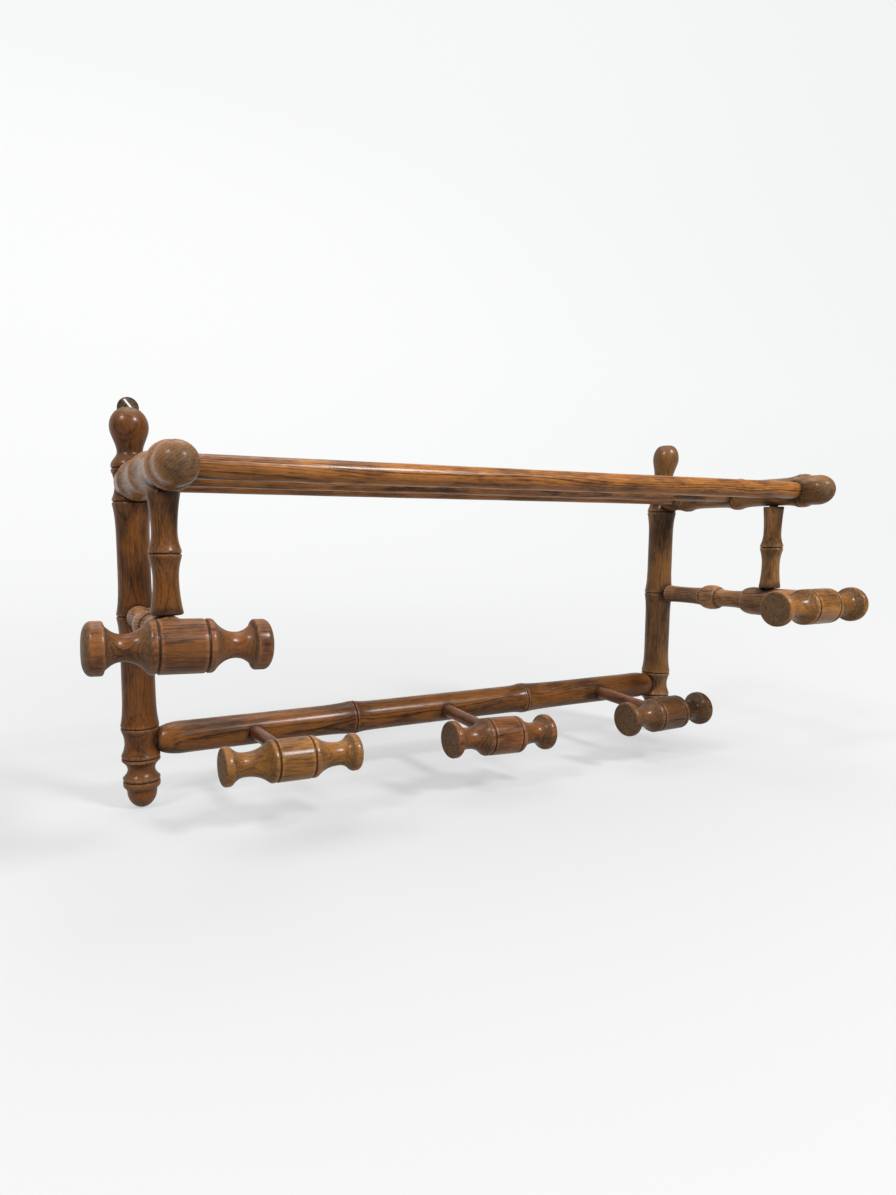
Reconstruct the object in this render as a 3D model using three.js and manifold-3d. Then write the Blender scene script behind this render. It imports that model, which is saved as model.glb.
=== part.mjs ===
// A wall-mounted coat and hat rack in turned oak, in the faux-bamboo style.
// Two turned posts hang on the wall. Each carries an upper arm and a peg arm, tied by a strut.
// Three rods between the upper arms make the hat shelf. The lower rail and the two peg arms
// carry double-ended pegs for coats. Every wooden joint is a round tenon in a bored mortise.
//
// Millimetres. +X runs along the rack, +Y goes into the wall and +Z is up.
// The origin is on the wall's face, midway between the pivots of the two hanger plates.

import * as THREE from "three";
import { mergeVertices } from "three/addons/utils/BufferGeometryUtils.js";
import Module from "manifold-3d";

// Clearance left round every tenon and at every shoulder.
const GAP = 0.3;

// Facets round a turning and round a bored hole.
const TURNED_FACETS = 16;
const BORED_FACETS = 12;
const COPE_FACETS = 40;

// The frame: post axis to post axis, and the height of one post from its foot.
const SPAN = 742;
const POST_HEIGHT = 420;
const RING_RADIUS = 20.2;

// Heights above the foot.
const RAIL_HEIGHT = 71.6;
const PEG_ARM_HEIGHT = 206.9;
const UPPER_ARM_HEIGHT = 344;
const PIVOT_HEIGHT = 358.7;

// Distances out from the posts' axes.
const PEG_ARM_REACH = 248;
const RAIL_PEG_REACH = 132.5;
const STRUT_REACH = 183;
const ROD_REACHES = { back: 30, middle: 125.5, front: 221 };

// Places of the pegs along the lower rail, from its middle, and how each sits in its hole, in
// degrees: droop tips its front down, roll lowers its right end and yaw swings it to the right.
const RAIL_PEGS = [
  { place: "left", offset: -249.5, droop: 0.1, roll: 1.3, yaw: 1.3, half: 70.5, disc: 19.2 },
  { place: "middle", offset: 0, droop: 2.5, roll: 2.7, yaw: 0.2, half: 66.7, disc: 20.6 },
  { place: "right", offset: 249.5, droop: 3, roll: -0.5, yaw: 1.1, half: 66.5, disc: 21.2 },
];

// Radii and depths of the joints.
const ROD_RADIUS = 10;
const SHANK_RADIUS = 7.75;
const RAIL_TENON = 8;
const UPPER_ARM_TENON = 8;
const PEG_ARM_TENON = 6.5;
const PEG_TENON = 7;
const STRUT_TENON = 5;
const TENON_END = 6;

// Where the outline of a coped piece starts, inside the post that it is then cut to, and how
// far its tenon runs up into it.
const COPED_END = 10;
const TENON_ROOT = 19;

// The hanger plate and its screw.
const PLATE_THICKNESS = 2;
const PLATE_RADIUS = 11;
const PLATE_LENGTH = 64.5;
const SCREW_RADIUS = 1.9;
const SCREW_HEAD_RADIUS = 3.8;
const SCREW_LENGTH = 19;

// Radii shared by turnings that meet.
const UPPER_ARM_BULK = 17.5;
const PEG_ARM_BULK = 17.8;
const BARREL_RADIUS = 21.2;

// How far the posts' axes stand off the wall.
const STAND_OFF = PLATE_THICKNESS + GAP + RING_RADIUS;

const { Manifold, Mesh: ManifoldMesh } = await loadManifold();

async function loadManifold() {
  const library = await Module();
  library.setup();
  return library;
}

// The outline of a turning: its radius at distances along its axis, from one end to the other.
class Outline {
  constructor() {
    this.points = [];
  }

  get last() {
    return this.points[this.points.length - 1];
  }

  // A straight cut to a radius at a distance along the axis.
  to(along, radius) {
    this.points.push(new THREE.Vector2(radius, along));
    return this;
  }

  // Points along a curve that starts at the last point.
  follow(steps, curve) {
    for (let i = 1; i <= steps; i += 1) {
      this.points.push(curve(i / steps));
    }
    return this;
  }

  // A hollow whose waist is at a share of its length. Power 2 makes a round cove, and 5 a
  // bamboo stem.
  hollow(along, radius, waist, power, share = 0.5, steps = 4) {
    const start = this.last.clone();
    const lowest = THREE.MathUtils.lerp(start.y, along, share);
    return this.follow(steps, (t) => {
      const across = -Math.cos(Math.PI * t);
      const [rim, end] = across < 0 ? [start.x, start.y] : [radius, along];
      return new THREE.Vector2(
        waist + (rim - waist) * Math.abs(across) ** power,
        THREE.MathUtils.lerp(lowest, end, Math.abs(across)),
      );
    });
  }

  // A smooth sweep that leaves and arrives parallel to the axis.
  sweep(along, radius, steps = 3) {
    const start = this.last.clone();
    return this.follow(steps, (t) => {
      const eased = THREE.MathUtils.smoothstep(t, 0, 1);
      return new THREE.Vector2(
        THREE.MathUtils.lerp(start.x, radius, eased),
        THREE.MathUtils.lerp(start.y, along, t),
      );
    });
  }

  // A quarter round that starts square to the axis and ends parallel to it.
  rise(along, radius, steps = 3) {
    const start = this.last.clone();
    return this.follow(steps, (t) => {
      const turn = (t * Math.PI) / 2;
      return new THREE.Vector2(
        THREE.MathUtils.lerp(start.x, radius, Math.sin(turn)),
        THREE.MathUtils.lerp(start.y, along, 1 - Math.cos(turn)),
      );
    });
  }

  // A quarter round that starts parallel to the axis and ends square to it.
  fall(along, radius, steps = 3) {
    const start = this.last.clone();
    return this.follow(steps, (t) => {
      const turn = (t * Math.PI) / 2;
      return new THREE.Vector2(
        THREE.MathUtils.lerp(start.x, radius, 1 - Math.cos(turn)),
        THREE.MathUtils.lerp(start.y, along, Math.sin(turn)),
      );
    });
  }

  // The groove at the middle of a bamboo node, and the ridge after it.
  groove(along, ridge, depth = 1.4, halfWidth = 3) {
    this.to(along, ridge - depth);
    return this.to(along + halfWidth, ridge);
  }

  // This outline and its mirror image, for a piece with two like halves.
  mirrored() {
    const other = this.points
      .filter((p) => p.y > 0)
      .map((p) => new THREE.Vector2(p.x, -p.y))
      .reverse();
    this.points = [...other, ...this.points];
    return this;
  }
}

// Turns an outline about the local Y axis.
function turned(outline, facets = TURNED_FACETS) {
  return new THREE.LatheGeometry(outline.points, facets);
}

// A round bar along the local Y axis.
function bar(radius, start, end, facets = BORED_FACETS) {
  return new THREE.CylinderGeometry(radius, radius, end - start, facets).translate(
    0,
    (start + end) / 2,
    0,
  );
}

// A bore that crosses the local Y axis at a right angle, towards a direction. Its flats, rather
// than its corners, stand clear of the round piece that it takes.
function crossBore(along, direction, radius, start, end, facets = BORED_FACETS) {
  const aim = new THREE.Quaternion().setFromUnitVectors(
    new THREE.Vector3(0, 1, 0),
    direction,
  );
  const cornerRadius = (radius + GAP) / Math.cos(Math.PI / facets);
  const tool = bar(cornerRadius, start, end, facets);
  return tool.applyQuaternion(aim).translate(0, along, 0);
}

// A mortise from a depth near the axis out through the surface.
function mortise(along, direction, tenonRadius) {
  const clearOfSurface = 2 * RING_RADIUS;
  return crossBore(along, direction, tenonRadius, TENON_END - GAP, clearOfSurface);
}

function toManifold(geometry) {
  const bare = new THREE.BufferGeometry();
  bare.setAttribute("position", geometry.getAttribute("position"));
  bare.setIndex(geometry.index);
  const welded = mergeVertices(bare, 1e-3);
  return new Manifold(
    new ManifoldMesh({
      numProp: 3,
      vertProperties: welded.getAttribute("position").array,
      triVerts: new Uint32Array(welded.index.array),
    }),
  );
}

function fromManifold(solid) {
  const { vertProperties, triVerts } = solid.getMesh();
  const geometry = new THREE.BufferGeometry();
  geometry.setAttribute("position", new THREE.BufferAttribute(vertProperties, 3));
  geometry.setIndex(new THREE.BufferAttribute(triVerts, 1));
  geometry.computeVertexNormals();
  return geometry;
}

function cut(geometry, ...tools) {
  const solid = tools.reduce(
    (left, tool) => left.subtract(toManifold(tool)),
    toManifold(geometry),
  );
  return fromManifold(solid);
}

function join(...geometries) {
  return fromManifold(Manifold.union(geometries.map(toManifold)));
}

// Local directions of each piece, once it is placed by stand, reach or lie below.
const X = new THREE.Vector3(1, 0, 0);
const Y = new THREE.Vector3(0, 1, 0);
const Z = new THREE.Vector3(0, 0, 1);
const reversed = (direction) => direction.clone().negate();

const WOOD_FINISH = { roughness: 0.42, metalness: 0 };
const STEEL_FINISH = { roughness: 0.45, metalness: 1 };

const COLOURS = {
  post: 0x5e3c23,
  rail: 0x714a30,
  upperArm: 0x6d4e37,
  rod: 0x94663f,
  strut: 0x643f24,
  pegArm: 0x70503a,
  darkPeg: 0x6f4c36,
  goldenPeg: 0x8a6340,
  shank: 0x6c4a35,
  plate: 0x3a2c22,
  screw: 0x8c8072,
};

const rack = new THREE.Group();
rack.position.set(-SPAN / 2, -STAND_OFF, -PIVOT_HEIGHT);

function add(name, geometry, colour, finish = WOOD_FINISH) {
  const material = new THREE.MeshStandardMaterial({ color: colour, ...finish });
  const mesh = new THREE.Mesh(geometry, material);
  mesh.name = name;
  rack.add(mesh);
  return mesh;
}

// Places a piece upright: its local Y points up, and its local Z to the front.
function stand(mesh, x, y, z) {
  mesh.rotation.x = Math.PI / 2;
  mesh.position.set(x, y, z);
}

// Places a piece that points to the front: its local Y is forward, and its local X to the left.
function reach(mesh, x, y, z) {
  mesh.rotation.z = Math.PI;
  mesh.position.set(x, y, z);
}

// Places a piece along the rack: its local Y points right, and its local X to the front.
function lie(mesh, x, y, z) {
  mesh.rotation.z = -Math.PI / 2;
  mesh.position.set(x, y, z);
}

// Swings a placed piece round a point, by the droop, roll and yaw that its peg sits at.
function swing(mesh, pivot, turn) {
  mesh.position.sub(pivot).applyQuaternion(turn).add(pivot);
  mesh.quaternion.premultiply(turn);
}

function turnOf({ droop = 0, roll = 0, yaw = 0 }) {
  const angles = [droop, roll, yaw].map(THREE.MathUtils.degToRad);
  return new THREE.Quaternion().setFromEuler(new THREE.Euler(...angles));
}

// The two ends of the rack, which way is inward along X, and the differences between them. Warp is
// how far a finial stands to the right of its post.
const ENDS = [
  {
    side: "left",
    x: 0,
    inward: 1,
    finial: { ball: 19.6, crown: 3, warp: 0 },
    armReach: 262,
    strut: { foot: 13.8, ring: 13.8, head: 13.8, waist: 10.8 },
    peg: { roll: 2, shift: -2, half: 70, disc: 20.2 },
  },
  {
    side: "right",
    x: SPAN,
    inward: -1,
    finial: { ball: 17.6, crown: 6, warp: 4.2 },
    armReach: 258.5,
    strut: { foot: 12.4, ring: 13.3, head: 11.8, waist: 10.2 },
    peg: { roll: 0, shift: -4, half: 71.5, disc: 20.9 },
  },
];

// Posts ---------------------------------------------------------------------------------------

// The bamboo nodes of a post, and the waist and hollowness of the stem above each.
const POST_NODES = [
  { height: 55, ring: 20.2, waist: 16.6, power: 2 },
  { height: 88.3, ring: 20, waist: 17.2, power: 5 },
  { height: PEG_ARM_HEIGHT, ring: 19.6, waist: 16.8, power: 5 },
  { height: 324.8, ring: 19.7, waist: 16.4, power: 2 },
  { height: PIVOT_HEIGHT, ring: 19.7 },
];

function postOutline({ ball, crown }) {
  const outline = new Outline().to(0, 0).rise(18, 15.6, 4).to(20.5, 16.1).to(24.5, 19.2);
  outline.to(28.6, 19.4).to(30.4, 17.9).to(33, 19.4);
  outline.hollow(52, POST_NODES[0].ring, 14.3, 2);
  POST_NODES.forEach((node, i) => {
    outline.groove(node.height, node.ring);
    const next = POST_NODES[i + 1];
    if (next) {
      outline.hollow(next.height - 3, next.ring, node.waist, node.power);
    }
  });
  outline.sweep(375, 12.9).sweep(400.5, ball, 4);
  return outline.fall(POST_HEIGHT, crown, 4).to(POST_HEIGHT, 0);
}

// The room that a post takes up, with its clearance, about its foot and with Z up.
function postClearance({ finial }) {
  const outline = postOutline(finial);
  for (const point of outline.points) {
    point.x += point.x > 0 ? GAP : 0;
  }
  return turned(outline).rotateX(Math.PI / 2);
}

// Bends the part of a post above its top node to the right.
function warped(geometry, distance) {
  const position = geometry.getAttribute("position");
  for (let i = 0; i < position.count; i += 1) {
    const bend = THREE.MathUtils.smoothstep(position.getY(i), PIVOT_HEIGHT + 5, 400);
    position.setX(i, position.getX(i) + distance * bend);
  }
  return geometry;
}

function buildPost({ side, x, inward, finial }) {
  const back = reversed(Z);
  const railSide = X.clone().multiplyScalar(inward);
  const pilotBottom = STAND_OFF - SCREW_LENGTH - GAP;
  const post = cut(
    warped(turned(postOutline(finial)), finial.warp),
    mortise(RAIL_HEIGHT, railSide, RAIL_TENON),
    mortise(PEG_ARM_HEIGHT, Z, PEG_ARM_TENON),
    mortise(UPPER_ARM_HEIGHT, Z, UPPER_ARM_TENON),
    crossBore(PIVOT_HEIGHT, back, SCREW_RADIUS, pilotBottom, 2 * RING_RADIUS),
  );
  stand(add("post_" + side, post, COLOURS.post), x, 0, 0);
}

// Upper arms ----------------------------------------------------------------------------------

const UPPER_ARM_NODES = [
  { reach: 49, ring: 20.3, waist: 17.6, power: 2 },
  { reach: 131, ring: 20.3, waist: 16.7, power: 5 },
  { reach: ROD_REACHES.front, ring: 20, waist: 16.8, power: 5 },
];

function upperArmOutline(armReach) {
  const outline = new Outline().to(COPED_END, 0).to(COPED_END, 18.2);
  for (const node of UPPER_ARM_NODES) {
    outline.hollow(node.reach - 3, node.ring, node.waist, node.power);
    outline.groove(node.reach, node.ring);
  }
  outline.sweep(232, UPPER_ARM_BULK, 2).to(armReach - UPPER_ARM_BULK, UPPER_ARM_BULK);
  return outline.fall(armReach, 0, 4);
}

// The arm's root is coped to the post, round its tenon.
function buildUpperArm(end) {
  const rodSide = X.clone().multiplyScalar(-end.inward);
  const post = postClearance(end).translate(0, 0, -UPPER_ARM_HEIGHT).rotateZ(Math.PI);
  const body = cut(
    turned(upperArmOutline(end.armReach)),
    post,
    ...Object.values(ROD_REACHES).map((rod) => mortise(rod, rodSide, ROD_RADIUS)),
    mortise(STRUT_REACH, reversed(Z), STRUT_TENON),
  );
  const arm = join(body, bar(UPPER_ARM_TENON, TENON_END, TENON_ROOT));
  reach(add("upper_arm_" + end.side, arm, COLOURS.upperArm), end.x, 0, UPPER_ARM_HEIGHT);
}

// Shelf rods ----------------------------------------------------------------------------------

function buildRod(place, distance) {
  const half = SPAN / 2 - TENON_END;
  const rod = bar(ROD_RADIUS, -half, half, TURNED_FACETS);
  const mesh = add("shelf_rod_" + place, rod, COLOURS.rod);
  lie(mesh, SPAN / 2, -distance, UPPER_ARM_HEIGHT);
}

// Peg arms ------------------------------------------------------------------------------------

function pegArmOutline() {
  const shoulder = RING_RADIUS + GAP;
  return new Outline()
    .to(TENON_END, 0)
    .to(TENON_END, PEG_ARM_TENON)
    .to(shoulder, PEG_ARM_TENON)
    .to(shoulder, 11)
    .to(shoulder + 1.2, 12.2)
    .hollow(80, 12.2, 11.2, 3)
    .to(82.5, 11.4)
    .to(84.5, 12.6)
    .rise(96, 16.6)
    .fall(109, 12.2)
    .hollow(148, 12, 10.9, 2)
    .rise(163, PEG_ARM_BULK)
    .to(PEG_ARM_REACH, PEG_ARM_BULK)
    .to(PEG_ARM_REACH, 0);
}

// The arm's front end is coped to the barrel of its peg head, with a tenon into it.
function buildPegArm({ side, x, peg }) {
  const headAxis = X.clone().applyAxisAngle(Y, THREE.MathUtils.degToRad(-peg.roll));
  const barrel = crossBore(PEG_ARM_REACH, headAxis, BARREL_RADIUS, -60, 60, COPE_FACETS);
  const coped = cut(turned(pegArmOutline()), barrel, mortise(STRUT_REACH, Z, STRUT_TENON));
  const copeBottom = PEG_ARM_REACH - BARREL_RADIUS - 4;
  const tenon = bar(PEG_TENON, copeBottom, PEG_ARM_REACH - TENON_END);
  const arm = join(coped, tenon);
  reach(add("peg_arm_" + side, arm, COLOURS.pegArm), x, 0, PEG_ARM_HEIGHT);
}

// Struts --------------------------------------------------------------------------------------

// A strut stands on the peg arm, and its top meets the upper arm from below.
function buildStrut({ side, x, strut }) {
  const foot = PEG_ARM_HEIGHT + PEG_ARM_BULK + GAP;
  const head = UPPER_ARM_HEIGHT - UPPER_ARM_BULK - GAP;
  const tenonFoot = PEG_ARM_HEIGHT + TENON_END;
  const tenonHead = UPPER_ARM_HEIGHT - TENON_END;
  const middle = (foot + head) / 2;
  const outline = new Outline()
    .to(tenonFoot, 0)
    .to(tenonFoot, STRUT_TENON)
    .to(foot, STRUT_TENON)
    .to(foot, strut.foot - 0.6)
    .to(foot + 1.2, strut.foot)
    .hollow(middle - 3, strut.ring, strut.waist, 2, 0.62)
    .groove(middle, strut.ring, 1.2)
    .hollow(head - 1, strut.head, strut.waist, 2, 0.32)
    .to(head, strut.head - 0.6)
    .to(head, STRUT_TENON)
    .to(tenonHead, STRUT_TENON)
    .to(tenonHead, 0);
  const mesh = add("strut_" + side, turned(outline, BORED_FACETS), COLOURS.strut);
  stand(mesh, x, -STRUT_REACH, 0);
}

// Lower rail ----------------------------------------------------------------------------------

// A long rail with two bamboo nodes. Its bullet-shaped ends are coped to the posts, round the
// tenons.
function buildRail() {
  const outline = new Outline()
    .to(0, 17.8)
    .hollow(125 - 3, 20, 17.8, 8)
    .groove(125, 20, 1.3)
    .hollow(328, 18, 17.7, 6)
    .fall(355, 8.4, 4)
    .to(SPAN / 2 - COPED_END, 8.4)
    .to(SPAN / 2 - COPED_END, 0)
    .mirrored();
  const posts = ENDS.map((end) =>
    postClearance(end).translate(end.x - SPAN / 2, 0, -RAIL_HEIGHT).rotateZ(Math.PI / 2),
  );
  const holes = RAIL_PEGS.map((peg) => {
    const front = new THREE.Vector3(0, -1, 0).applyQuaternion(turnOf(peg));
    return mortise(peg.offset, new THREE.Vector3(-front.y, front.x, front.z), SHANK_RADIUS);
  });
  const tenons = [0, Math.PI].map((turn) =>
    bar(RAIL_TENON, SPAN / 2 - TENON_ROOT, SPAN / 2 - TENON_END).rotateZ(turn),
  );
  const rail = join(cut(turned(outline), ...posts, ...holes), ...tenons);
  lie(add("lower_rail", rail, COLOURS.rail), SPAN / 2, 0, RAIL_HEIGHT);
}

// Pegs ----------------------------------------------------------------------------------------

// One half of a peg head, out to where its neck starts.
const BEAD_END = 24;

function halfBarrel() {
  return new Outline()
    .to(0, BARREL_RADIUS)
    .to(17, BARREL_RADIUS)
    .to(18.4, BARREL_RADIUS - 1.2)
    .to(20, BARREL_RADIUS - 0.3)
    .to(BEAD_END, BARREL_RADIUS - 0.8);
}

// The usual peg head: each neck flares into a disc.
function flaredPegOutline({ half, disc }) {
  const share = (half - 22 - BEAD_END) / (half - 9 - BEAD_END);
  return halfBarrel()
    .hollow(half - 9, disc - 1.4, 12, 2.4, share, 6)
    .to(half - 6.5, disc)
    .to(half - 2.4, disc - 0.2)
    .to(half, disc - 2.6)
    .to(half, 0)
    .mirrored();
}

// The heavier head on the left arm: thinner necks, with a square shoulder to a rounded drum.
function drumPegOutline({ half, disc }) {
  return halfBarrel()
    .hollow(half - 15.5, 16.4, 10.3, 2.2, 0.58, 6)
    .to(half - 14, disc)
    .to(half - 6.5, disc)
    .fall(half, disc - 11)
    .to(half, 0)
    .mirrored();
}

function buildPegHead(name, outline, tenonRadius, colour, shift, x, distance, height) {
  const hole = mortise(-shift, reversed(X), tenonRadius);
  const mesh = add(name, cut(turned(outline), hole), colour);
  lie(mesh, x + shift, -distance, height);
  return mesh;
}

function buildRailPeg(peg) {
  const x = SPAN / 2 + peg.offset;
  const bore = new THREE.Vector3(x, 0, RAIL_HEIGHT);
  const turn = turnOf(peg);
  const shank = bar(SHANK_RADIUS, TENON_END, RAIL_PEG_REACH - TENON_END);
  const shankMesh = add("peg_shank_" + peg.place, shank, COLOURS.shank);
  reach(shankMesh, x, 0, RAIL_HEIGHT);
  swing(shankMesh, bore, turn);
  const name = "peg_head_rail_" + peg.place;
  const colour = peg.place === "left" ? COLOURS.goldenPeg : COLOURS.darkPeg;
  const outline = flaredPegOutline(peg);
  const head = buildPegHead(name, outline, SHANK_RADIUS, colour, 0, x, RAIL_PEG_REACH, RAIL_HEIGHT);
  swing(head, bore, turn);
}

function buildArmPeg({ side, x, peg }) {
  const left = side === "left";
  const outline = left ? drumPegOutline(peg) : flaredPegOutline(peg);
  const colour = left ? COLOURS.darkPeg : COLOURS.goldenPeg;
  const name = "peg_head_arm_" + side;
  const place = [peg.shift, x, PEG_ARM_REACH, PEG_ARM_HEIGHT];
  const head = buildPegHead(name, outline, PEG_TENON, colour, ...place);
  swing(head, new THREE.Vector3(x, -PEG_ARM_REACH, PEG_ARM_HEIGHT), turnOf(peg));
}

// Hanger plates -------------------------------------------------------------------------------

// A strap with round ends. It turns on one countersunk screw at its lower end, and a slanting
// slot near its upper end goes over a nail in the wall.
function plateGeometry() {
  const strap = new THREE.Shape();
  strap.absarc(0, PLATE_LENGTH, PLATE_RADIUS, 0, Math.PI);
  strap.absarc(0, 0, PLATE_RADIUS, Math.PI, 2 * Math.PI);
  strap.closePath();
  strap.holes.push(slotPath());
  const plate = new THREE.ExtrudeGeometry(strap, {
    depth: PLATE_THICKNESS,
    bevelEnabled: false,
    curveSegments: 10,
  });
  const countersink = new Outline()
    .to(-1, 0)
    .to(-1, SCREW_HEAD_RADIUS + GAP + 1)
    .to(PLATE_THICKNESS, SCREW_RADIUS + GAP)
    .to(PLATE_THICKNESS + 1, SCREW_RADIUS + GAP)
    .to(PLATE_THICKNESS + 1, 0);
  return cut(plate, turned(countersink, BORED_FACETS).rotateX(Math.PI / 2));
}

function slotPath() {
  const halfWidth = 1.2;
  const halfLength = 7;
  const slant = THREE.MathUtils.degToRad(41);
  const corners = [
    [-halfWidth, -halfLength],
    [halfWidth, -halfLength],
    [halfWidth, halfLength],
    [-halfWidth, halfLength],
  ];
  const centre = new THREE.Vector2(0.8, PLATE_LENGTH + 3.4);
  const points = corners.map(([x, y]) =>
    new THREE.Vector2(x, y).rotateAround(new THREE.Vector2(), slant).add(centre),
  );
  return new THREE.Path(points.reverse());
}

// The left plate stands up behind its finial, a little to the right. The right one is turned to
// the middle of the rack.
const PLATE_TURNS = { left: THREE.MathUtils.degToRad(2.3), right: -Math.PI / 2 };

function buildHanger({ side, x }) {
  const plate = add("hanger_plate_" + side, plateGeometry(), COLOURS.plate, STEEL_FINISH);
  stand(plate, x, STAND_OFF, PIVOT_HEIGHT);
  plate.rotation.order = "YXZ";
  plate.rotation.y = PLATE_TURNS[side];
  const flush = GAP;
  const taper = SCREW_HEAD_RADIUS - SCREW_RADIUS;
  const screw = new Outline()
    .to(flush, 0)
    .to(flush, SCREW_HEAD_RADIUS)
    .to(flush + taper, SCREW_RADIUS)
    .to(SCREW_LENGTH - 4, SCREW_RADIUS)
    .to(SCREW_LENGTH, 0);
  const mesh = add(
    "hanger_screw_" + side,
    turned(screw, BORED_FACETS),
    COLOURS.screw,
    STEEL_FINISH,
  );
  reach(mesh, x, STAND_OFF, PIVOT_HEIGHT);
}

// Assembly ------------------------------------------------------------------------------------

for (const end of ENDS) {
  buildPost(end);
  buildUpperArm(end);
  buildPegArm(end);
  buildStrut(end);
  buildArmPeg(end);
  buildHanger(end);
}
for (const [place, distance] of Object.entries(ROD_REACHES)) {
  buildRod(place, distance);
}
buildRail();
for (const peg of RAIL_PEGS) {
  buildRailPeg(peg);
}

export default rack;
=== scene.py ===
"""A wall-mounted coat and hat rack in turned, brown-stained oak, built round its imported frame.

Outlines are in millimetres and share the formulas of the CAD part, with finer steps. Every piece
is turned about its own axis, cut to its joints, and placed where the frame says.
"""

import math

import bmesh
import bpy
import numpy as np
from mathutils import Euler, Matrix, Vector


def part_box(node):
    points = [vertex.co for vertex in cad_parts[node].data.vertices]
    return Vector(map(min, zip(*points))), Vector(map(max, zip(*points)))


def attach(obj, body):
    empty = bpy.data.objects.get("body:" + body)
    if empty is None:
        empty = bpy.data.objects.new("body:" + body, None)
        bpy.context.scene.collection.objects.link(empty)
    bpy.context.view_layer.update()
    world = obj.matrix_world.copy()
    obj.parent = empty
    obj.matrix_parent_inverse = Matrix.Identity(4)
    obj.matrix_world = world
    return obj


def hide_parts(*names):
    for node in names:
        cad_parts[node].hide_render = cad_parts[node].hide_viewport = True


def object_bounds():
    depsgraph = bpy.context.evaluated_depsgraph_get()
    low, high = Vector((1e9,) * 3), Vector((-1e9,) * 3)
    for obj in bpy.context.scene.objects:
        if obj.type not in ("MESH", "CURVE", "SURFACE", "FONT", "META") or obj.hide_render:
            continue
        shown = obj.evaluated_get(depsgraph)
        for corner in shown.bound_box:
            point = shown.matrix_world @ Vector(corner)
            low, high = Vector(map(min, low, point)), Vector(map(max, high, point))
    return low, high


MM = 0.001
GAP = 0.3
TENON_END = 6.0
COPED_END = 10.0
TENON_ROOT = 19.0
RING_RADIUS = 20.2
SPAN = 742.0
POST_HEIGHT = 420.0
RAIL_HEIGHT = 71.6
PEG_ARM_HEIGHT = 206.9
UPPER_ARM_HEIGHT = 344.0
PIVOT_HEIGHT = 358.7
PEG_ARM_REACH = 248.0
RAIL_PEG_REACH = 132.5
STRUT_REACH = 183.0
ROD_REACHES = {"back": 30.0, "middle": 125.5, "front": 221.0}
ROD_RADIUS = 10.0
SHANK_RADIUS = 7.75
RAIL_TENON = 8.0
UPPER_ARM_TENON = 8.0
PEG_ARM_TENON = 6.5
PEG_TENON = 7.0
STRUT_TENON = 5.0
UPPER_ARM_BULK = 17.5
PEG_ARM_BULK = 17.8
BARREL_RADIUS = 21.2
STAND_OFF = 2.0 + GAP + RING_RADIUS
SCREW_RADIUS = 1.9
SCREW_HEAD_RADIUS = 3.8
SCREW_LENGTH = 19.0

# How finely a turning is made: facets round it, and the longest step along it.
FACETS = 72
STEP = 3.0

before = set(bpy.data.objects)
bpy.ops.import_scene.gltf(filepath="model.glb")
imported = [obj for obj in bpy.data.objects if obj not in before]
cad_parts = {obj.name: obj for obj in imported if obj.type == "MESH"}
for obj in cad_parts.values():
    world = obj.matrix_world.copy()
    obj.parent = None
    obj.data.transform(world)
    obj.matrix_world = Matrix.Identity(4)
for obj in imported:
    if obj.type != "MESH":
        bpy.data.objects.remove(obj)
cad_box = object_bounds()

# The frame's origin is on the wall, so the left post's foot gives the outlines' own origin.
low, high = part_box("post_left")
FOOT = Vector(((low.x + high.x) / 2, (low.y + high.y) / 2, low.z)) / MM


# Outlines ------------------------------------------------------------------------------------


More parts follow.
